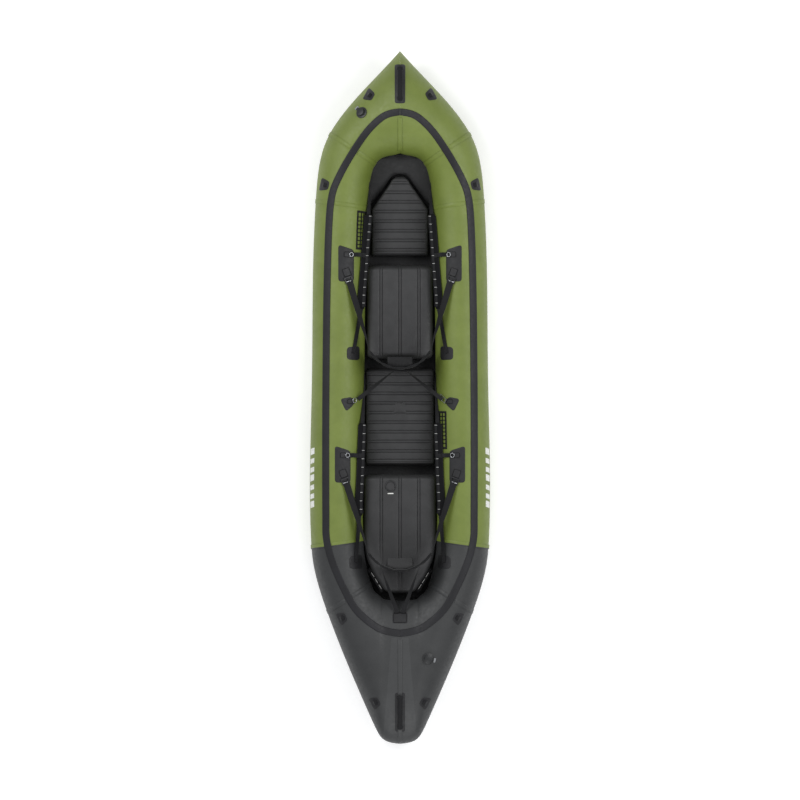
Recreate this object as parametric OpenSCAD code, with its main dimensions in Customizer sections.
// Two-seat inflatable kayak with thigh straps.
// +Y is the bow, +X is starboard, +Z is up; the flat bottom rests on z = 0.

/* [Hull] */
// Overall length from bow tip to stern
hull_len = 4100; // [3400:10:5000]
// Overall beam over the two side tubes
hull_beam = 1058; // [880:2:1280]
// Diameter of a side tube amidships
tube_d = 311; // [255:1:375]
// How far the underside of the bow rises
bow_rise = 50; // [20:1:90]
// How far the underside of the stern rises
stern_rise = 60; // [20:1:90]
// Depth of the tubes where they meet at the bow
bow_depth = 370; // [300:2:420]
// Depth of the tubes where they meet at the stern
stern_depth = 280; // [220:2:340]
// Thickness of the bottom sheet
sheet_t = 1.6; // [1:0.1:4]

/* [Floor and seats] */
// Height of the inflated floor mats above the ground
mat_top = 112; // [70:1:150]
// Height of the seat cushions above the ground
seat_top = 200; // [160:1:240]
// Width of the gap between a cushion and the side tubes
side_gap = 7; // [3:0.5:20]
// Length of the gap between one cushion and the next
end_gap = 54; // [30:1:70]
// Spacing of the welded bands across the mats
band_pitch = 57; // [40:1:80]
// Depth of the welded grooves
groove_d = 12; // [4:1:20]

/* [Backrests] */
// Height of a backrest panel
rest_h = 230; // [160:1:280]
// Thickness of a backrest panel
rest_t = 14; // [8:0.5:24]
// Depth of the backrest's curve in plan
rest_sag = 104; // [60:1:130]
// Half width of the front backrest
front_rest_half = 178; // [150:1:185]
// Half width of the rear backrest
rear_rest_half = 186; // [150:1:190]
// Distance from the hinge line back to the middle of the panel
hinge_ahead = 70; // [50:1:90]

/* [Straps] */
// Width of the backrest webbing
wide_web = 40; // [25:1:50]
// Width of the lighter webbing
web = 25; // [20:1:30]
// Thickness of all webbing
web_t = 1.8; // [1:0.1:3]
// Width of a thigh pad
thigh_w = 50; // [40:1:60]
// Thickness of a thigh pad
thigh_t = 9; // [5:0.5:14]

/* [Fittings] */
// Thickness of a welded patch
patch_t = 1.5; // [0.8:0.1:3]
// Width of the reinforcing band along the tubes
band_w = 41; // [25:1:60]
// Width of a grab handle's strap
handle_w = 27; // [20:1:40]
// Free length of a grab handle between its end blocks
handle_len = 154; // [110:1:180]
// Finger room under a grab handle
handle_room = 22; // [12:1:35]
// Radius of a valve's flange
valve_r = 34; // [28:1:40]
// Radius of the opening that takes the pump's nozzle
nozzle_r = 14.5; // [10:0.5:16]
// Travel of the valve's plunger
plunger_travel = 4; // [3:0.5:4.5]

/* [Hidden] */

clear = 0.35;              // running gap between a soft piece and what carries it
half_len = hull_len / 2;
half_beam = hull_beam / 2;
tube_r = tube_d / 2;
floor_z = sheet_t + clear; // height of the tubes' undersides amidships
kx = hull_beam / 1058;     // fittings keep their place across the hull
ky = hull_len / 4100;      // and along it

// ---- hull form --------------------------------------------------------------
// Each station is a ring in an upright plane: outer x, outer y, inner x, inner y,
// height of its underside and half its depth.
bow_outer = 2050;
stations = [
    [0.15, bow_outer * ky, 0.15, 1442 * ky, bow_rise + clear, bow_depth / 2],
    [420 * kx, 1558 * ky, 420 * kx - tube_d * 0.875, 1377 * ky, 0.44 * bow_rise + clear, 1.05 * tube_r],
    [500 * kx, 1168 * ky, 500 * kx - tube_d * 0.99, 1128 * ky, floor_z + 2, tube_r],
    [521 * kx, 158 * ky, 521 * kx - tube_d, 158 * ky, floor_z, tube_r],
    [half_beam - 2, -890 * ky, half_beam - 1 - tube_d, -848 * ky, floor_z, tube_r],
    [434 * kx, -1263 * ky, 434 * kx - tube_d * 0.842, -1097 * ky, 0.18 * stern_rise + clear, 1.01 * tube_r],
    [140 * kx, -1968 * ky, 108 * kx, -1180 * ky, 0.97 * stern_rise + clear, 0.51 * stern_depth],
    [88 * kx, -2034 * ky, 90 * kx, -1192 * ky, stern_rise + clear, stern_depth / 2],
    [0.15, -half_len, 0.15, -1200 * ky, stern_rise + clear, stern_depth / 2]];
last = len(stations) - 1;
rings_between = [8, 5, 4, 4, 4, 5, 2, 2];
ring_sides = 36;

function outer(s) = [s[0], s[1]];
function inner(s) = [s[2], s[3]];
function reach(i) = norm(outer(stations[i + 1]) - outer(stations[i]));
function slope(i) =
    i == 0 ? (stations[1] - stations[0]) / reach(0) :
    i == last ? (stations[last] - stations[last - 1]) / reach(last - 1) :
    let (a = reach(i - 1), b = reach(i))
    (stations[i + 1] - stations[i - 1]) / (a + b);
// Ring at s, where whole numbers are the stations
function spline_ring(s) =
    let (i = min(last - 1, max(0, floor(s))), t = s - i, d = reach(i), q = t * t, c = q * t)
    stations[i] * (2 * c - 3 * q + 1) + slope(i) * d * (c - 2 * q + t)
    + stations[i + 1] * (3 * q - 2 * c) + slope(i + 1) * d * (c - q);
// The flat floor is the lowest the tubes go
function ring(s) = let (r = spline_ring(s)) [r[0], r[1], r[2], r[3], max(floor_z, r[4]), r[5]];
// Point of the tube at ring s and angle a: 0 outboard, 90 on top, 180 inboard
function skin(s, a) =
    let (r = ring(s), c = (outer(r) + inner(r)) / 2, h = (outer(r) - inner(r)) / 2)
    [c[0] + h[0] * cos(a), c[1] + h[1] * cos(a), r[4] + r[5] * (1 + sin(a))];
function skin_normal(s, a) =
    let (e = 0.01, s0 = max(0, s - e), s1 = min(last, s + e),
        n = cross(skin(s, a + 1) - skin(s, a - 1), skin(s1, a) - skin(s0, a)))
    n / norm(n) * (n * [cos(a) * 0.01, 0, sin(a)] < 0 ? -1 : 1);
function cross2(a, b) = a[0] * b[1] - a[1] * b[0];
function find_ring(p, lo, hi, n) =
    let (m = (lo + hi) / 2, r = ring(m))
    n == 0 ? m :
    cross2(inner(r) - outer(r), p - outer(r)) > 0 ? find_ring(p, m, hi, n - 1) : find_ring(p, lo, m, n - 1);
// Ring and angle of the point of the tube's upper side above plan point [x, y], x > 0
function locate(p) =
    let (s = find_ring(p, 0, last, 20), r = ring(s), c = (outer(r) + inner(r)) / 2,
        h = (outer(r) - inner(r)) / 2)
    [s, acos(max(-1, min(1, (p - c) * h / (h * h))))];
function flip_x(p) = [-p[0], p[1], p[2]];
// Point on the upper side of the hull above plan point p, raised by lift
function drape(p, lift) =
    let (l = locate([max(0.2, abs(p[0])), p[1]]),
        q = skin(l[0], l[1]) + skin_normal(l[0], l[1]) * lift)
    p[0] < 0 ? flip_x(q) : q;
function drape_normal(p) =
    let (l = locate([max(0.2, abs(p[0])), p[1]]), n = skin_normal(l[0], l[1]))
    p[0] < 0 ? flip_x(n) : n;
function place(x, y) = [x * kx, y * ky];
function turned(p, deg) = [p[0] * cos(deg) - p[1] * sin(deg), p[0] * sin(deg) + p[1] * cos(deg)];
function unit(v) = v / norm(v);
function mix(a, b, t) = a * (1 - t) + b * t;
ring_list = [for (i = [0:last - 1]) each [for (k = [0:rings_between[i] - 1]) i + k / rings_between[i]], last];

// Height of the underside of the hull at length y
function keel_ring(y, lo, hi, n) =
    let (m = (lo + hi) / 2, r = ring(m))
    n == 0 ? m : (r[1] + r[3]) / 2 > y ? keel_ring(y, m, hi, n - 1) : keel_ring(y, lo, m, n - 1);
function keel_z(y) = ring(keel_ring(y, 0, last, 16))[4];

// Smooth curve through points, with n steps between each pair
function spline_slope(p, i) =
    i == 0 ? p[1] - p[0] : i == len(p) - 1 ? p[i] - p[i - 1] : (p[i + 1] - p[i - 1]) / 2;
function spline_at(p, i, t) =
    p[i] * (2 * t * t * t - 3 * t * t + 1) + spline_slope(p, i) * (t * t * t - 2 * t * t + t)
    + p[i + 1] * (3 * t * t - 2 * t * t * t) + spline_slope(p, i + 1) * (t * t * t - t * t);
function smooth(p, n) = [for (i = [0:len(p) - 2]) for (k = [0:n - 1]) spline_at(p, i, k / n), p[len(p) - 1]];

// ---- solids from grids of points ---------------------------------------------
// Closed thin solid between two grids of rows
module slab(top, low) {
    n = len(top) - 1;
    m = len(top[0]) - 1;
    c = (n + 1) * (m + 1);
    function t(i, j) = i * (m + 1) + j;
    function b(i, j) = c + t(i, j);
    quads = [
        for (i = [0:n - 1]) for (j = [0:m - 1]) each [
            [t(i, j), t(i, j + 1), t(i + 1, j + 1), t(i + 1, j)],
            [b(i, j), b(i + 1, j), b(i + 1, j + 1), b(i, j + 1)]],
        for (i = [0:n - 1]) each [
            [t(i, 0), t(i + 1, 0), b(i + 1, 0), b(i, 0)],
            [t(i + 1, m), t(i, m), b(i, m), b(i + 1, m)]],
        for (j = [0:m - 1]) each [
            [t(0, j + 1), t(0, j), b(0, j), b(0, j + 1)],
            [t(n, j), t(n, j + 1), b(n, j + 1), b(n, j)]]];
    side = cross(top[1][0] - top[0][0], top[0][1] - top[0][0]) * (top[0][0] - low[0][0]);
    polyhedron([for (r = top) each r, for (r = low) each r], split_quads(quads, side < 0));
}
function split_quads(quads, back) = [for (q = quads) each
    back ? [[q[0], q[2], q[1]], [q[0], q[3], q[2]]] : [[q[0], q[1], q[2]], [q[0], q[2], q[3]]]];

// Closed solid through a list of closed rings
module loft(rings) {
    n = len(rings) - 1;
    m = len(rings[0]);
    quads = [for (i = [0:n - 1]) for (j = [0:m - 1])
        let (k = (j + 1) % m) [i * m + j, (i + 1) * m + j, (i + 1) * m + k, i * m + k]];
    c = ring_centre(rings[0]);
    out = cross(rings[1][0] - rings[0][0], rings[0][1] - rings[0][0]) * (rings[0][0] - c);
    low_cap = [for (j = [0:m - 1]) j];
    high_cap = [for (j = [m - 1:-1:0]) n * m + j];
    back = out < 0;
    polyhedron([for (r = rings) each r], concat(split_quads(quads, back),
        [back ? reversed(low_cap) : low_cap], [back ? reversed(high_cap) : high_cap]));
}
function reversed(l) = [for (i = [len(l) - 1:-1:0]) l[i]];
function ring_centre(r) = [for (k = [0:2]) add([for (p = r) p[k]]) / len(r)];
function add(v, i = 0) = i < len(v) ? v[i] + add(v, i + 1) : 0;

// Patch welded to the hull: a quadrilateral of local corners about plan point at
module hull_patch(at, corners, heading = 0, t = patch_t, lift = clear, cell = 14) {
    n = max(2, ceil(norm(corners[1] - corners[0]) / cell));
    m = max(2, ceil(norm(corners[3] - corners[0]) / cell));
    grid = [for (i = [0:n]) [for (j = [0:m])
        at + turned(mix(mix(corners[0], corners[1], i / n), mix(corners[3], corners[2], i / n), j / m),
            heading)]];
    slab([for (r = grid) [for (p = r) drape(p, lift + t)]], [for (r = grid) [for (p = r) drape(p, lift)]]);
}
function box_corners(w, h) = [[-w / 2, -h / 2], [w / 2, -h / 2], [w / 2, h / 2], [-w / 2, h / 2]];
function trapezoid(base, top, h) =
    [[-base / 2, -h / 2], [base / 2, -h / 2], [top / 2, h / 2], [-top / 2, h / 2]];

// Flat webbing along a path; across gives its width direction at each point
module ribbon(path, across, w, t) {
    n = len(path) - 1;
    dir = [for (i = [0:n]) unit(path[min(n, i + 1)] - path[max(0, i - 1)])];
    face = [for (i = [0:n]) unit(cross(dir[i], across[i]))];
    slab([for (i = [0:n]) [for (k = [-1, 1]) path[i] + across[i] * k * w / 2 + face[i] * t / 2]],
        [for (i = [0:n]) [for (k = [-1, 1]) path[i] + across[i] * k * w / 2 - face[i] * t / 2]]);
}

// Sets a child on the hull's skin above plan point p, with its x axis at heading
module on_hull(p, heading = 0, lift = clear) {
    n = drape_normal(p);
    tilt = acos(n[2]);
    way = atan2(n[1], n[0]);
    translate(drape(p, lift)) rotate([0, tilt, way]) rotate([0, 0, heading - way]) children();
}
module both_sides() {
    children();
    mirror([1, 0, 0]) children();
}

// ---- hull --------------------------------------------------------------------
module tube() {
    loft([for (s = ring_list) [for (j = [0:ring_sides - 1]) skin(s, j * 360 / ring_sides)]]);
}
module port_tube() { color("#7b8b4a") mirror([1, 0, 0]) tube(); }
module starboard_tube() { color("#7b8b4a") tube(); }

// Half width and height of the bottom sheet at each ring
module bottom_sheet() {
    rows = [for (s = ring_list) if (s > 0.2 && s < last - 1) let (r = ring(s))
        [(r[0] + r[2]) / 2, (r[1] + r[3]) / 2, r[4] - clear]];
    color("#38393a") slab(
        [for (r = rows) [[-r[0], r[1], r[2]], [r[0], r[1], r[2]]]],
        [for (r = rows) [[-r[0], r[1], r[2] - sheet_t], [r[0], r[1], r[2] - sheet_t]]]);
}

// Sheet that closes the bow inside the tubes, cut away round the mat's nose
apron_from = 0.10;
apron_to = 1.95;
apron_rows = 14;
module bow_apron() {
    rows = [for (i = [0:apron_rows]) let (k = i / apron_rows, s = mix(apron_from, apron_to, k),
        a = mix(184, 232, k)) skin(s, a) + inward(s, a, 0.7)];
    color("#464748") difference() {
        slab([for (p = rows) [flip_x(p), p]],
            [for (p = rows) [flip_x(p) - [0, 0, 3], p - [0, 0, 3]]]);
        translate([0, 0, -1]) linear_extrude(400) mat_outline(15);
    }
}
// Step off the tube's skin, away from it
function inward(s, a, d) =
    let (n = cross(skin(s, a + 1) - skin(s, a - 1), skin(s + 0.01, a) - skin(s - 0.01, a)), u = n / norm(n),
        r = ring(s), c = (outer(r) + inner(r)) / 2, h = (outer(r) - inner(r)) / 2,
        o = [h[0] * cos(a), h[1] * cos(a), r[5] * sin(a)])
    u * d * (u * o < 0 ? -1 : 1);

// ---- floor mats and seats -------------------------------------------------------
function inner_ring(y, lo, hi, n) =
    let (m = (lo + hi) / 2)
    n == 0 ? m : ring(m)[3] > y ? inner_ring(y, m, hi, n - 1) : inner_ring(y, lo, m, n - 1);
function locate_inner(y) = ring(inner_ring(y, 1, 6, 16))[2];
mat_nose = 1312 * ky;
mat_square = 1123 * ky;     // the front mat is full width aft of here
front_seat_bow = 784 * ky;
front_seat_stern = 232 * ky;
rear_mat_bow = front_seat_stern - end_gap - 8;
rear_seat_bow = -455 * ky;
rear_seat_stern = -1161 * ky;
rear_mat_stern = rear_seat_bow + end_gap;
front_mat_stern = front_seat_bow + end_gap;
front_mat_half = locate_inner(mat_square) - side_gap - 18;
mat_half = locate_inner(rear_mat_bow) - side_gap;
front_seat_half = locate_inner(front_seat_bow) - side_gap;
rear_seat_half = min(locate_inner(-455 * ky), locate_inner(-852 * ky)) - 3;

function arc_points(c, r, a0, a1, n) =
    [for (k = [0:n]) c + r * [cos(mix(a0, a1, k / n)), sin(mix(a0, a1, k / n))]];
// Rounded rectangle as points: half width, two ends, corner radius
function pad_points(half, low, high, r) = concat(
    arc_points([half - r, high - r], r, 0, 90, 5), arc_points([r - half, high - r], r, 90, 180, 5),
    arc_points([r - half, low + r], r, 180, 270, 5), arc_points([half - r, low + r], r, 270, 360, 5));
nose_r = 62;
// Outline of the front mat, grown by d
module mat_outline(d = 0) {
    points = concat(
        [[front_mat_half + d, mat_square]],
        arc_points([0, mat_nose - nose_r], nose_r + d, 20, 160, 8),
        [[-front_mat_half - d, mat_square]],
        arc_points([30 - front_mat_half, front_mat_stern + 30], 30 + d, 180, 270, 5),
        arc_points([front_mat_half - 30, front_mat_stern + 30], 30 + d, 270, 360, 5));
    polygon(points);
}

// Side view of a mat: welded bands across it, with its underside on the bottom sheet
module mat_profile(low_y, high_y, first, count) {
    n = 12;
    grooves = [for (k = [count - 1:-1:0]) first - k * band_pitch];
    under = [for (k = [0:n]) let (y = mix(low_y, high_y, k / n)) [y, max(floor_z, keel_z(y) + clear)]];
    top = [for (g = grooves) if (g > low_y + 30 && g < high_y - 29)
        each [[g - 7, mat_top], [g, mat_top - groove_d], [g + 7, mat_top]]];
    edge = 22;
    polygon(concat(under, [[high_y, mat_top - edge], [high_y - edge * 0.3, mat_top - edge * 0.3],
        [high_y - edge, mat_top]], reversed(top),
        [[low_y + edge, mat_top], [low_y + edge * 0.3, mat_top - edge * 0.3], [low_y, mat_top - edge]]));
}
module side_extrude(half) {
    rotate([90, 0, 90]) translate([0, 0, -half]) linear_extrude(2 * half) children();
}
module front_mat() {
    color("#424343") intersection() {
        linear_extrude(mat_top + 10) mat_outline();
        side_extrude(front_mat_half + 5) mat_profile(front_mat_stern, mat_nose, 1274 * ky, 8);
    }
}
module rear_mat() {
    color("#424343") intersection() {
        linear_extrude(mat_top + 10) polygon(pad_points(mat_half, rear_mat_stern, rear_mat_bow, 24));
        side_extrude(mat_half + 5) mat_profile(rear_mat_stern, rear_mat_bow, rear_mat_bow - 30, 10);
    }
}
// Front view of a seat: three welded grooves along it
module seat_profile(half, grooves) {
    edge = 26;
    top = [for (g = grooves) each [[g + 8, seat_top], [g, seat_top - groove_d], [g - 8, seat_top]]];
    polygon(concat([[-half, floor_z], [half, floor_z], [half, seat_top - edge],
        [half - edge * 0.3, seat_top - edge * 0.3], [half - edge, seat_top]], top,
        [[edge - half, seat_top], [edge * 0.3 - half, seat_top - edge * 0.3], [-half, seat_top - edge]]));
}
module along_extrude(low_y, high_y) {
    translate([0, high_y, 0]) rotate([90, 0, 0]) linear_extrude(high_y - low_y) children();
}
module front_seat() {
    g = front_seat_half * 0.571;
    color("#444444") intersection() {
        linear_extrude(seat_top + 10)
            polygon(pad_points(front_seat_half, front_seat_stern, front_seat_bow, 34));
        along_extrude(front_seat_stern - 5, front_seat_bow + 5) seat_profile(front_seat_half, [g, 0, -g]);
    }
}
module rear_seat() {
    g = rear_seat_half * 0.518;
    taper = [[1, -852], [0.917, -959], [0.688, -1058], [0.445, -1136], [0.37, -1161]];
    right = [for (t = taper) [rear_seat_half * t[0], t[1] * ky]];
    color("#444444") intersection() {
        linear_extrude(seat_top + 10) polygon(concat(
            arc_points([rear_seat_half - 34, rear_seat_bow - 34], 34, 0, 90, 5),
            arc_points([34 - rear_seat_half, rear_seat_bow - 34], 34, 90, 180, 5),
            [for (p = right) [-p[0], p[1]]], reversed(right)));
        along_extrude(rear_seat_stern - 5, rear_seat_bow + 5) seat_profile(rear_seat_half, [g, 0, -g]);
        side_extrude(600) polygon(concat(
            [for (k = [0:8]) let (y = mix(rear_seat_stern - 5, rear_seat_bow + 5, k / 8)) [y,
                max(floor_z, keel_z(y) + clear)]],
            [[rear_seat_bow + 5, seat_top + 5], [rear_seat_stern - 5, seat_top + 5]]));
    }
}

// ---- tapes and bands -------------------------------------------------------------
// Strip round the tube at ring s between two angles, w wide
function hoop_rows(s, a0, a1, n, w, lift) = [for (k = [0:n])
    let (a = mix(a0, a1, k / n), per_ring = norm(skin(s + 0.05, a) - skin(s - 0.05, a)) / 0.1)
    [for (j = [-1, 1]) let (q = s + j * w / 2 / per_ring) skin(q, a) + skin_normal(q, a) * lift]];

// Plan line of the starboard band, from the bow round to the stern
band_line = [[0, 1683], [60, 1673], [118, 1643], [201, 1560], [296, 1419], [367, 1288], [403, 1185],
    [420, 1000], [431, 600], [437, 0], [438, -400], [437, -700], [434, -831], [403, -961], [331, -1127],
    [255, -1257], [142, -1352], [60, -1382], [0, -1390]];
band_lift = clear + 1;
band_path = smooth([for (p = band_line) place(p[0], p[1])], 4);
function to_segment(p, a, b) = let (d = b - a, t = max(0, min(1, (p - a) * d / (d * d)))) norm(p - a - d * t);
// Ring angle where ring s crosses the band
function band_angle(s) = let (
    far = [for (a = [55:0.5:130]) let (p = skin(s, a))
        min([for (k = [1:len(band_path) - 1]) to_segment([p[0], p[1]], band_path[k - 1], band_path[k])])])
    55 + search(min(far), far)[0] / 2;
function band_rows(path, lift) = let (n = len(path) - 1)
    [for (k = [0:n]) let (d = k == 0 ? [1, 0] : k == n ? [-1, 0] : unit(path[k + 1] - path[k - 1]))
        [for (j = [-2:2]) drape([max(0.2, path[k][0]), path[k][1]] + [d[1], -d[0]] * j * band_w / 4, lift)]];
module band() { slab(band_rows(band_path, band_lift + 1.2), band_rows(band_path, band_lift)); }
module starboard_band() { color("#333437") band(); }
module port_band() { color("#333437") mirror([1, 0, 0]) band(); }

tape_w = 26;
tape_t = 0.9;
module seam_tapes() {
    color("#5d6b38") both_sides() for (s = [1, 2]) hoop(s);
    color("#38393a") both_sides() for (s = [4, 5]) hoop(s);
}
module hoop(s) {
    a = band_angle(s);
    gap = (band_w / 2 + 3.6) / (PI * tube_r) * 180;
    for (range = [[-20, a - gap, clear + 0.2], [a + gap, 178, clear + (s == 1 ? 1.6 : 0.4)]])
        slab(hoop_rows(s, range[0], range[1], 13, tape_w, range[2] + tape_t),
            hoop_rows(s, range[0], range[1], 13, tape_w, range[2]));
}
module centre_tapes() {
    color("#606e2e") saddle(1456 * ky, 1650 * ky, 16);
    color("#38393a") saddle(-2036 * ky, -1424 * ky, 28);
}
// Tape over the joint between the two tubes, across the centre line
module saddle(low_y, high_y, n) {
    ys = [for (i = [0:n]) mix(low_y, high_y, i / n)];
    slab([for (y = ys) [for (x = [-tape_w / 2, 0, tape_w / 2]) drape([x == 0 ? 0.2 : x, y], clear + 1.7)]],
        [for (y = ys) [for (x = [-tape_w / 2, 0, tape_w / 2]) drape([x == 0 ? 0.2 : x, y], clear + 0.8)]]);
}

// ---- grab handles ------------------------------------------------------------------
handle_block = 24;
handle_base = [58, handle_len + 3 * handle_block + 4];
// Patch under a handle, lying along the centre line
module handle_patch(y, lift) {
    color("#3a3a3c") hull_patch([0, y], box_corners(handle_base[0], handle_base[1]), lift = lift, t = 2,
        cell = 15);
}
bow_handle_lift = clear + 0.5;
stern_handle_lift = clear + 2.3;
module bow_handle_base() { handle_patch(1848 * ky, bow_handle_lift); }
module stern_handle_base() { handle_patch(-1855 * ky, stern_handle_lift); }
// Strap handle: two end blocks on the patch and a webbing bow between them
module handle(y, base) {
    ends = [-1, 1] * (handle_len + handle_block) / 2;
    feet = [for (e = ends) drape([0.2, y + e], base)];
    foot_0 = [0, feet[0][1], feet[0][2]];
    foot_1 = [0, feet[1][1], feet[1][2]];
    along = unit(foot_1 - foot_0);
    up = cross([1, 0, 0], along);
    color("#3a3a3c") {
        for (f = [foot_0, foot_1])
            translate(f) rotate([atan2(along[2], along[1]), 0, 0])
                translate([-handle_w / 2 - 3, -handle_block / 2, 1.8])
            cube([handle_w + 6, handle_block, 9]);
        path = [for (k = [0:12]) mix(foot_0, foot_1,
            k / 12) + up * (8 + (handle_room - 5) * sin(180 * k / 12))];
        ribbon(path, [for (p = path) [1, 0, 0]], handle_w, 4);
    }
}
module bow_handle() { handle(1848 * ky, bow_handle_lift + 2); }
module stern_handle() { handle(-1855 * ky, stern_handle_lift + 2); }

// ---- lash points ----------------------------------------------------------------------
// Plan place and heading of each starboard lash patch; the narrow end points inboard
lash_at = [[179, 1783, 118], [444, 1256, 103], [340, -1300, 63], [145, -1799, 62]];
lash_base = 80;
lash_top = 47;
lash_depth = 50;
module lash_patches() {
    color("#3a3a3c") both_sides() for (l = lash_at)
        hull_patch(place(l[0], l[1]), trapezoid(lash_base, lash_top, lash_depth), l[2],
            lift = clear + 0.15, cell = 16);
}
module lash_loops() {
    color("#2d2d30") both_sides() for (l = lash_at)
        on_hull(place(l[0], l[1]), l[2], clear + patch_t + 0.25) loop(web, 30, 7);
}
// Webbing loop: a flat strip that arches over its middle
module loop(w, length, room) {
    path = [for (k = [0:8]) [0, length * (k / 8 - 0.5), 1 + room * pow(sin(180 * k / 8), 2)]];
    ribbon(path, [for (p = path) [1, 0, 0]], w, web_t);
}

// ---- side patches with the buckles and rings ---------------------------------------------
// Plan place of the front and the rear starboard side patch
side_at = [[319, 794], [339, -393]];
side_lift = clear + 0.4;
side_w = 90;
side_l = 217;
ring_at = [[290, 845], [312, -340]];
buckle_at = [[305, 694], [324, -494]];
buckle_turn = 20;
module side_patches() {
    color("#3a3a3c") both_sides() for (p = side_at)
        hull_patch(place(p[0], p[1]),
            [[-side_w / 2, -side_l / 2], [side_w / 2, -side_l / 2], [side_w / 2, side_l / 2],
                [-side_w / 2, side_l / 2 - 30]], lift = side_lift, cell = 18);
}
fitting_lift = side_lift + patch_t + 0.5;
tab_t = 2.2;
// Stitched squares that hold the snap rings and the buckles
module ring_tabs() {
    color("#333337") both_sides() {
        for (p = ring_at) hull_patch(place(p[0] + 22, p[1]), box_corners(44, 34), t = tab_t,
            lift = fitting_lift, cell = 12);
        for (p = buckle_at) hull_patch(place(p[0] + 12, p[1] + 46), box_corners(44, 52), -buckle_turn,
            t = tab_t, lift = fitting_lift, cell = 12);
        hull_patch(place(stay_ring_at[0] + 22, stay_ring_at[1] - 6), box_corners(42, 30), t = tab_t,
            lift = fitting_lift, cell = 12);
    }
}
ring_r = 12;
ring_wire = 2;
ring_rest = fitting_lift + tab_t + ring_wire + 0.8;
module wire_ring(r, wire) { rotate_extrude($fn = 40) translate([r, 0]) circle(wire, $fn = 16); }
module snap_rings() {
    color("#b9bcc0") both_sides() for (p = ring_at) on_hull(place(p[0], p[1]), 0, ring_rest)
        wire_ring(ring_r, ring_wire);
}

// Ladder-lock buckle: a frame with two bars, hinged on its rear bar
buckle_l = 38;
buckle_t = 4;
module buckle_shape() {
    w = wide_web + 10;
    difference() {
        translate([-w / 2, -buckle_l, -buckle_t / 2]) cube([w, buckle_l, buckle_t]);
        for (y = [-buckle_l + 5, -buckle_l / 2 + 2]) translate([-wide_web / 2 - 1, y, -buckle_t])
            cube([wide_web + 2, buckle_l / 2 - 7, 2 * buckle_t]);
    }
    translate([-w / 2, 0, 0]) rotate([0, 90, 0]) cylinder(h = w, r = 2.5, $fn = 24);
}
buckle_rest = fitting_lift + tab_t + 2.6;
function buckle_hinge(at) = place(at[0], at[1]) + [6, 18];
module buckle(at, side) {
    color("#2a2a2c") mirror([side < 0 ? 1 : 0, 0, 0])
        on_hull(buckle_hinge(at), -buckle_turn, buckle_rest) buckle_shape();
}
module front_port_buckle() { buckle(buckle_at[0], -1); }
module front_starboard_buckle() { buckle(buckle_at[0], 1); }
module rear_port_buckle() { buckle(buckle_at[1], -1); }
module rear_starboard_buckle() { buckle(buckle_at[1], 1); }

// ---- backrests -------------------------------------------------------------------------
rest_foot = 16;            // gap under the middle of a backrest
rest_end_rise = 75;        // height of its lower edge at the ends
front_rest_y = 172 * ky;
rear_rest_y = -1019 * ky;
function rest_radius(half) = (half * half + rest_sag * rest_sag) / (2 * rest_sag);
function rest_angle(half) = asin(half / rest_radius(half));
// Curved panel with its middle at length y
module backrest(y, half) {
    r = rest_radius(half);
    a = rest_angle(half);
    low = seat_top + rest_foot;
    high = seat_top + rest_foot + rest_h;
    outline = concat(
        [for (k = [0:12]) let (x = mix(-half, half, k / 12), q = x / half) [x * 1.02,
            low + rest_end_rise * 0.8 * q * q]],
        [for (k = [0:12]) let (x = mix(half, -half, k / 12), q = x / half) [x * 1.02,
            high - 62 * pow(abs(q), 3)]]);
    intersection() {
        translate([0, y + r, low]) rotate([0, 0, 270 - a]) rotate_extrude(angle = 2 * a, $fn = 160)
            translate([r - rest_t / 2, 0]) square([rest_t, rest_h]);
        translate([0, y + half + 20, 0]) rotate([90, 0, 0]) linear_extrude(2 * half + 80) polygon(outline);
    }
}
module front_backrest() { color("#343437") backrest(front_rest_y, front_rest_half); }
module rear_backrest() { color("#343437") backrest(rear_rest_y, rear_rest_half); }
flap_w = 150;
flap_t = 2;
// Cloth flap from the hinge line on the seat to the foot of the panel
// The flap ends in a lip that follows the panel's curved face
module flap(y, half) {
    r = rest_radius(half);
    columns = [for (k = [-4:4]) k * flap_w / 8];
    function face(x) = y + r - sqrt(pow(r - rest_t / 2, 2) - x * x);
    rows = [[1, clear + 0.1], [0.86, clear + 0.6], [0, rest_foot - 5]];
    low = [for (q = rows) [for (x = columns) [x, mix(face(x) + 1.6, y + hinge_ahead, q[0]),
        seat_top + q[1]]]];
    slab([for (q = low) [for (p = q) p + [0, 0, flap_t]]], low);
    function lip(d) = [for (z = [rest_foot - 5, rest_foot + 10]) [for (x = columns) [x, face(x) + d,
        seat_top + z]]];
    slab(lip(2.4), lip(0.4));
}
module front_backrest_flap() { color("#2d2d30") flap(front_rest_y, front_rest_half); }
module rear_backrest_flap() { color("#2d2d30") flap(rear_rest_y, rear_rest_half); }

// Where a side strap leaves the panel's end, on starboard
strap_z = seat_top + rest_foot + 118;
function rest_end(y, half) = [half + 2, y + rest_sag + 6, strap_z];
// Side strap from a buckle to the panel's end
module side_strap(at, y, half) {
    start = drape(buckle_hinge(at) - [10, 30], buckle_rest + 9.3);
    finish = rest_end(y, half);
    path = [for (k = [0:8]) mix(start, finish, k / 8) - [0, 0, 6 * sin(180 * k / 8)]];
    dir = unit(finish - start);
    across = [for (k = [0:8]) unit(mix([-dir[1], dir[0], 0] * -1, [0.25, -0.1, 1], 0.55 * k / 8))];
    ribbon(path, [for (a = across) unit(a - dir * (a * dir))], wide_web, web_t);
}
module front_backrest_straps() {
    color("#2a2a2c") both_sides() side_strap(buckle_at[0], front_rest_y, front_rest_half);
}
module rear_backrest_straps() {
    color("#2a2a2c") both_sides() side_strap(buckle_at[1], rear_rest_y, rear_rest_half);
}

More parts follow.
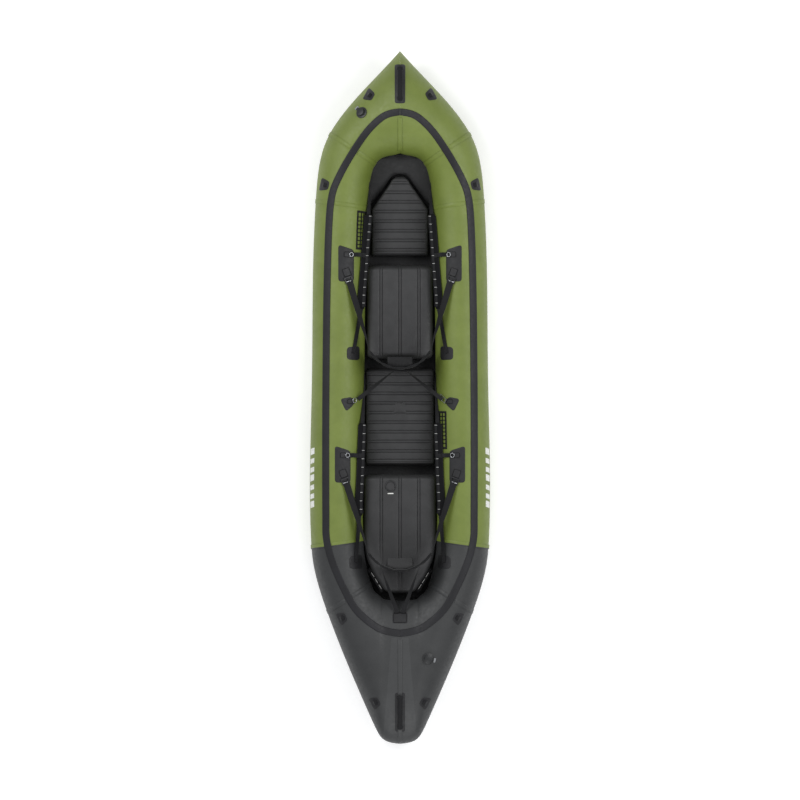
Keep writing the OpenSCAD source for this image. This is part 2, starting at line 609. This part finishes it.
// Stay straps behind the panels
function rest_back(x, y, half) = let (r = rest_radius(half)) y + r - sqrt(pow(r + rest_t / 2, 2) - x * x);
stay_ring_at = [272, -16];
module stay_patches() {
    color("#3a3a3c") both_sides()
        hull_patch(place(311, -38), [[-41, 1], [7, -45], [42, 30], [-26, 43]], cell = 15);
}
// A ring on the port side and a long slider on the starboard side
module stay_rings() {
    color("#b9bcc0") {
        mirror([1, 0, 0]) on_hull(place(stay_ring_at[0], stay_ring_at[1]), 0, ring_rest)
            wire_ring(14, ring_wire);
        on_hull(place(stay_ring_at[0] - 14, stay_ring_at[1] + 10), -35, ring_rest + 0.6) slider();
    }
}
module slider() {
    difference() {
        translate([-29, -15, -1.5]) cube([58, 30, 3]);
        for (x = [-25, 2]) translate([x, -12, -3]) cube([23, 24, 6]);
    }
}
module stay(from, to, w) {
    dir = unit(to - from);
    flat = unit([dir[1], -dir[0], 0]);
    path = [for (k = [0:6]) mix(from, to, k / 6) - [0, 0, 10 * sin(180 * k / 6)]];
    ribbon(path, square_to(path, [for (k = [0:6]) mix([0, 0, 1], flat, k / 6)]), w, web_t);
}
module front_stay_straps() {
    color("#2a2a2c") both_sides()
        stay([30, rest_back(30, front_rest_y, front_rest_half) - 3.1, strap_z - 10],
            drape(place(stay_ring_at[0] - 12, stay_ring_at[1] + 6), ring_rest + ring_wire + 5.2), web);
}
stern_patch_lift = clear + 0.6;
module stern_patch() {
    color("#3a3a3c") hull_patch([0, -1301 * ky], box_corners(88, 62), lift = stern_patch_lift, t = 2,
        cell = 11);
}
module rear_stay_straps() {
    anchor = drape([0.2, -1276 * ky], stern_patch_lift + 5.4);
    color("#2a2a2c") both_sides()
        stay([115, rest_back(115, rear_rest_y, rear_rest_half) - 3.1, strap_z - 10],
            [15, anchor[1], anchor[2]], web);
}

// ---- thigh straps --------------------------------------------------------------------------
// Plan centre line of a starboard pad
pad_lines = [
    [[186, 1085], [193, 1000], [202, 890], [210, 780], [218, 690], [225, 600], [228, 524]],
    [[222, -150], [224, -220], [229, -330], [233, -440], [238, -540], [242, -630], [239, -697]]];
front_anchor = [1255, 118];
rear_anchor = [[278, 261], [263, -973]];
pad_tilt = 24;
pad_across = [cos(pad_tilt), 0, sin(pad_tilt)];
pad_lift = 6;              // room for what lies on the tube under a pad
// A pad rests with its outboard edge just above the tube
function pad_height(p) = let (e = thigh_w / 2 * pad_across[0] + 2)
    max(drape([p[0] + e, p[1]], 0)[2], 1.33 * tube_r) - thigh_w / 2 * pad_across[2] + thigh_t / 2 + pad_lift;
function pad_path(i) = [for (p = smooth([for (q = pad_lines[i]) place(q[0], q[1])], 4)) [p[0], p[1],
    pad_height(p)]];
// Padded strap with rounded edges and tapered ends
module thigh_pad(i) {
    path = pad_path(i);
    n = len(path) - 1;
    loft([for (k = [0:n])
        let (dir = unit(path[min(n, k + 1)] - path[max(0, k - 1)]),
            side = unit(pad_across - dir * (dir * pad_across)), up = cross(side, dir),
            w = thigh_w * (0.72 + 0.28 * sin(90 * min(1, min(k, n - k) / 4))))
        [for (j = [0:11]) let (a = j * 30)
            path[k] + side * w / 2 * sign(cos(a)) * pow(abs(cos(a)), 0.6) + up * thigh_t / 2 * sin(a)]]);
}
module front_starboard_thigh_pad() { color("#39393c") thigh_pad(0); }
module front_port_thigh_pad() { color("#39393c") mirror([1, 0, 0]) thigh_pad(0); }
module rear_starboard_thigh_pad() { color("#39393c") thigh_pad(1); }
module rear_port_thigh_pad() { color("#39393c") mirror([1, 0, 0]) thigh_pad(1); }

// Where the front webbing meets the hull, on a tube's inner wall
anchor_t = 3;
anchor_angle = 176;
web_gap = [1.35, 1.9];     // room between a front web's end and its anchor, front row and rear row
function anchor_ring(i) = inner_ring(front_anchor[i] * ky, 0, 6, 18);
function front_foot(i) = let (s = anchor_ring(i))
    skin(s, anchor_angle) + inward(s, anchor_angle, clear + anchor_t + web_t / 2 + web_gap[i]);
function rear_foot(i) = drape(place(rear_anchor[i][0], rear_anchor[i][1]), fitting_lift + 3.4);
function web_path(a, b, sag) = [for (k = [0:6]) mix(a, b, k / 6) - [0, 0, sag * sin(180 * k / 6)]];
// Webbing from each end of a pad to its two anchors
module thigh_webs(i) {
    path = pad_path(i);
    n = len(path) - 1;
    bow_dir = unit(path[0] - path[1]);
    stern_dir = unit(path[n] - path[n - 1]);
    front = web_path(front_foot(i), path[0] + bow_dir * 2.4, 6);
    rear = web_path(path[n] + stern_dir * 2.4, rear_foot(i), 3);
    wall = drape_normal(place(rear_anchor[i][0], rear_anchor[i][1]));
    across_front = [for (k = [0:6]) mix([0, 0, 1], pad_across, k / 6)];
    across_rear = [for (k = [0:6]) mix(pad_across, unit([wall[2], 0, -wall[0]]), k / 6)];
    ribbon(front, square_to(front, across_front), web, web_t);
    ribbon(rear, square_to(rear, across_rear), web, web_t);
}
function square_to(path, across) = let (n = len(path) - 1)
    [for (k = [0:n]) let (d = unit(path[min(n, k + 1)] - path[max(0, k - 1)]))
        unit(across[k] - d * (d * across[k]))];
module front_starboard_thigh_webs() { color("#2a2a2c") thigh_webs(0); }
module front_port_thigh_webs() { color("#2a2a2c") mirror([1, 0, 0]) thigh_webs(0); }
module rear_starboard_thigh_webs() { color("#2a2a2c") thigh_webs(1); }
module rear_port_thigh_webs() { color("#2a2a2c") mirror([1, 0, 0]) thigh_webs(1); }
// Blocks on the inner wall that hold the front webbing
module thigh_anchors() {
    color("#2d2d30") both_sides() for (i = [0, 1]) {
        s = anchor_ring(i);
        e = ring_step(s, 19);
        pocket_panel(s - e, s + e, anchor_angle - 7, anchor_angle + 7, clear + 0.3,
            clear + 0.3 + anchor_t, 6);
    }
}
module thigh_patches() {
    color("#3a3a3c") both_sides() for (a = rear_anchor)
        hull_patch(place(a[0], a[1]), [[-36, -40], [36, -36], [36, 36], [-36, 44]], lift = clear + 0.6,
            t = patch_t + 0.3, cell = 14);
}
adjust_y = [845, -340];
// Webbing from each snap ring over the middle of a pad
module thigh_adjusters() {
    color("#2a2a2c") both_sides() for (i = [0, 1]) {
        path = pad_path(i);
        at = nearest(path, adjust_y[i] * ky);
        dir = unit(path[at + 1] - path[at - 1]);
        side = unit(pad_across - dir * (dir * pad_across));
        up = unit(cross(dir, side));
        rise = thigh_t / 2 + 0.5 + web_t / 2;
        ring_side = drape(place(ring_at[i][0] - 11, ring_at[i][1]), ring_rest + ring_wire + 2.1);
        over = [for (k = [-0.42, 0, 0.42, 0.62])
            path[at] + side * thigh_w * k + up * (rise + 40 * pow(max(0, k - 0.3), 2) * 2)];
        bridge = drape([(over[3][0] + ring_side[0]) / 2, ring_side[1]], 7);
        line = concat(over, [bridge, ring_side]);
        ribbon(line, [for (q = line) dir], web, web_t);
    }
}
function nearest(path, y) = search_near(path, y, 0, 1);
function search_near(path, y, best, k) = k == len(path) - 1 ? best :
    search_near(path, y, abs(path[k][1] - y) < abs(path[best][1] - y) ? k : best, k + 1);

// ---- mesh pockets -----------------------------------------------------------------------------
// Side, ends along the hull; each pocket hangs on a tube's inner wall
pocket_at = [[-1, 1099, 872], [1, -79, -302]];
pocket_top = 128;          // ring angle of the pocket's upper edge
pocket_foot = 186;         // and of its lower edge
pocket_edge = 11;          // width of its binding
pocket_lift = clear + 0.7;
// Panel on a tube's inner wall between two rings and two angles
module pocket_panel(s0, s1, a0, a1, low, high, n = 10) {
    m = max(2, ceil((a1 - a0) / 6));
    function rows(lift) = [for (i = [0:n]) [for (j = [0:m])
        let (s = mix(s0, s1, i / n), a = mix(a0, a1, j / m)) skin(s, a) + inward(s, a, lift)]];
    slab(rows(high), rows(low));
}
function pocket_ring(y) = inner_ring(y * ky, 0, 6, 18);
function pocket_span(p) = [pocket_ring(p[1]), pocket_ring(p[2])];
function ring_step(s, mm) = mm / (norm(skin(s + 0.05, 150) - skin(s - 0.05, 150)) / 0.1);
edge_deg = pocket_edge / (PI * tube_r) * 180;
module pocket_frames() {
    color("#26272a") for (p = pocket_at) mirror([p[0] < 0 ? 1 : 0, 0, 0]) {
        s = pocket_span(p);
        e = ring_step(s[0], pocket_edge);
        for (a = [pocket_top, pocket_foot - edge_deg])
            pocket_panel(s[0], s[1], a, a + edge_deg, pocket_lift, pocket_lift + 2);
        for (q = [s[0], s[1] - e])
            pocket_panel(q, q + e, pocket_top + edge_deg + 0.2, pocket_foot - edge_deg - 0.2,
                pocket_lift, pocket_lift + 2);
    }
}
module pocket_nets() {
    color("#1f2022") for (p = pocket_at) mirror([p[0] < 0 ? 1 : 0, 0, 0]) {
        s = pocket_span(p);
        e = ring_step(s[0], pocket_edge + 0.4);
        pocket_panel(s[0] + e, s[1] - e, pocket_top + edge_deg + 0.3, pocket_foot - edge_deg - 0.3,
            pocket_lift + 0.3, pocket_lift + 1.1);
    }
}

// ---- valves -----------------------------------------------------------------------------------
valve_at = [[-226, 1680, 135], [166, -1540, -15]];
barrel_r = nozzle_r + 6.5;
barrel_top = 19;
floor_t = 1.5;
boss_top = 5;
stem_r = 2.2;
head_low = 10.5;
head_r = 10;
head_t = 1.8;
hinge_x = valve_r - 5;
hinge_z = barrel_top + 2.2;
pin_r = 1.4;
module at_valve(i) { on_hull(place(valve_at[i][0], valve_at[i][1]), valve_at[i][2]) children(); }
module valve_body() {
    difference() {
        union() {
            cylinder(h = 3, r = valve_r, $fn = 64);
            cylinder(h = barrel_top, r = barrel_r, $fn = 64);
            for (y = [-8, 5]) translate([hinge_x - 3, y, 2]) cube([6, 3, hinge_z + 1]);
        }
        translate([0, 0, floor_t]) cylinder(h = barrel_top, r = nozzle_r, $fn = 64);
        translate([0, 0, -1]) cylinder(h = 9, r = stem_r + 0.3, $fn = 32);
        translate([hinge_x, -20, hinge_z]) rotate([-90, 0, 0]) cylinder(h = 40, r = pin_r + 0.3, $fn = 32);
    }
    difference() {
        translate([0, 0, floor_t]) cylinder(h = boss_top - floor_t, r = 4.5, $fn = 32);
        cylinder(h = 9, r = stem_r + 0.3, $fn = 32);
    }
}
module valve_plunger() {
    translate([0, 0, plunger_travel + 0.2]) cylinder(h = head_low - plunger_travel, r = stem_r, $fn = 32);
    translate([0, 0, head_low]) cylinder(h = head_t, r = head_r, $fn = 48);
}
spring_turns = 4;
spring_r = 7;
spring_wire = 0.55;
module valve_spring() {
    low = floor_t + spring_wire + 0.2;
    high = head_low - spring_wire - 0.2;
    steps = spring_turns * 12;
    loft([for (k = [0:steps]) let (a = 360 * spring_turns * k / steps, z = mix(low, high, k / steps))
        [for (j = [0:5]) let (b = j * 60) [(spring_r + spring_wire * cos(b)) * cos(a),
            (spring_r + spring_wire * cos(b)) * sin(a), z + spring_wire * sin(b)]]]);
}
cap_t = 4.5;
module valve_cap() {
    difference() {
        union() {
            translate([0, 0, barrel_top + 0.4]) cylinder(h = cap_t, r = barrel_r + 2, $fn = 64);
            translate([0, 0, barrel_top - 2]) cylinder(h = 3, r = nozzle_r - 1, $fn = 64);
            translate([barrel_r - 3, -4.5, barrel_top + 0.4]) cube([hinge_x - barrel_r + 3, 9, 3]);
            translate([hinge_x, -4.7, hinge_z]) rotate([-90, 0, 0]) cylinder(h = 9.4, r = 3, $fn = 32);
            translate([hinge_x, -8.5, hinge_z]) rotate([-90, 0, 0]) cylinder(h = 17, r = pin_r, $fn = 32);
        }
        for (k = [0:11]) rotate([0, 0, k * 30 + 15]) translate([barrel_r + 3.4, 0, barrel_top])
            cylinder(h = 20, r = 2.6, $fn = 24);
    }
}
module bow_valve_body() { color("#3a3b3d") at_valve(0) valve_body(); }
module stern_valve_body() { color("#3a3b3d") at_valve(1) valve_body(); }
module bow_valve_plunger() { color("#8d9094") at_valve(0) valve_plunger(); }
module stern_valve_plunger() { color("#8d9094") at_valve(1) valve_plunger(); }
module bow_valve_spring() { color("#c4c7ca") at_valve(0) valve_spring(); }
module stern_valve_spring() { color("#c4c7ca") at_valve(1) valve_spring(); }
module bow_valve_cap() { color("#35363a") at_valve(0) valve_cap(); }
module stern_valve_cap() { color("#35363a") at_valve(1) valve_cap(); }

port_tube();
starboard_tube();
bottom_sheet();
bow_apron();
port_band();
starboard_band();
seam_tapes();
centre_tapes();
front_mat();
rear_mat();
front_seat();
rear_seat();
bow_handle_base();
bow_handle();
stern_handle_base();
stern_handle();
lash_patches();
lash_loops();
side_patches();
ring_tabs();
snap_rings();
front_port_buckle();
front_starboard_buckle();
rear_port_buckle();
rear_starboard_buckle();
front_backrest();
front_backrest_flap();
front_backrest_straps();
front_stay_straps();
stay_patches();
stay_rings();
rear_backrest();
rear_backrest_flap();
rear_backrest_straps();
rear_stay_straps();
stern_patch();
front_port_thigh_pad();
front_starboard_thigh_pad();
rear_port_thigh_pad();
rear_starboard_thigh_pad();
front_port_thigh_webs();
front_starboard_thigh_webs();
rear_port_thigh_webs();
rear_starboard_thigh_webs();
thigh_anchors();
thigh_patches();
thigh_adjusters();
pocket_frames();
pocket_nets();
bow_valve_body();
bow_valve_plunger();
bow_valve_spring();
bow_valve_cap();
stern_valve_body();
stern_valve_plunger();
stern_valve_spring();
stern_valve_cap();
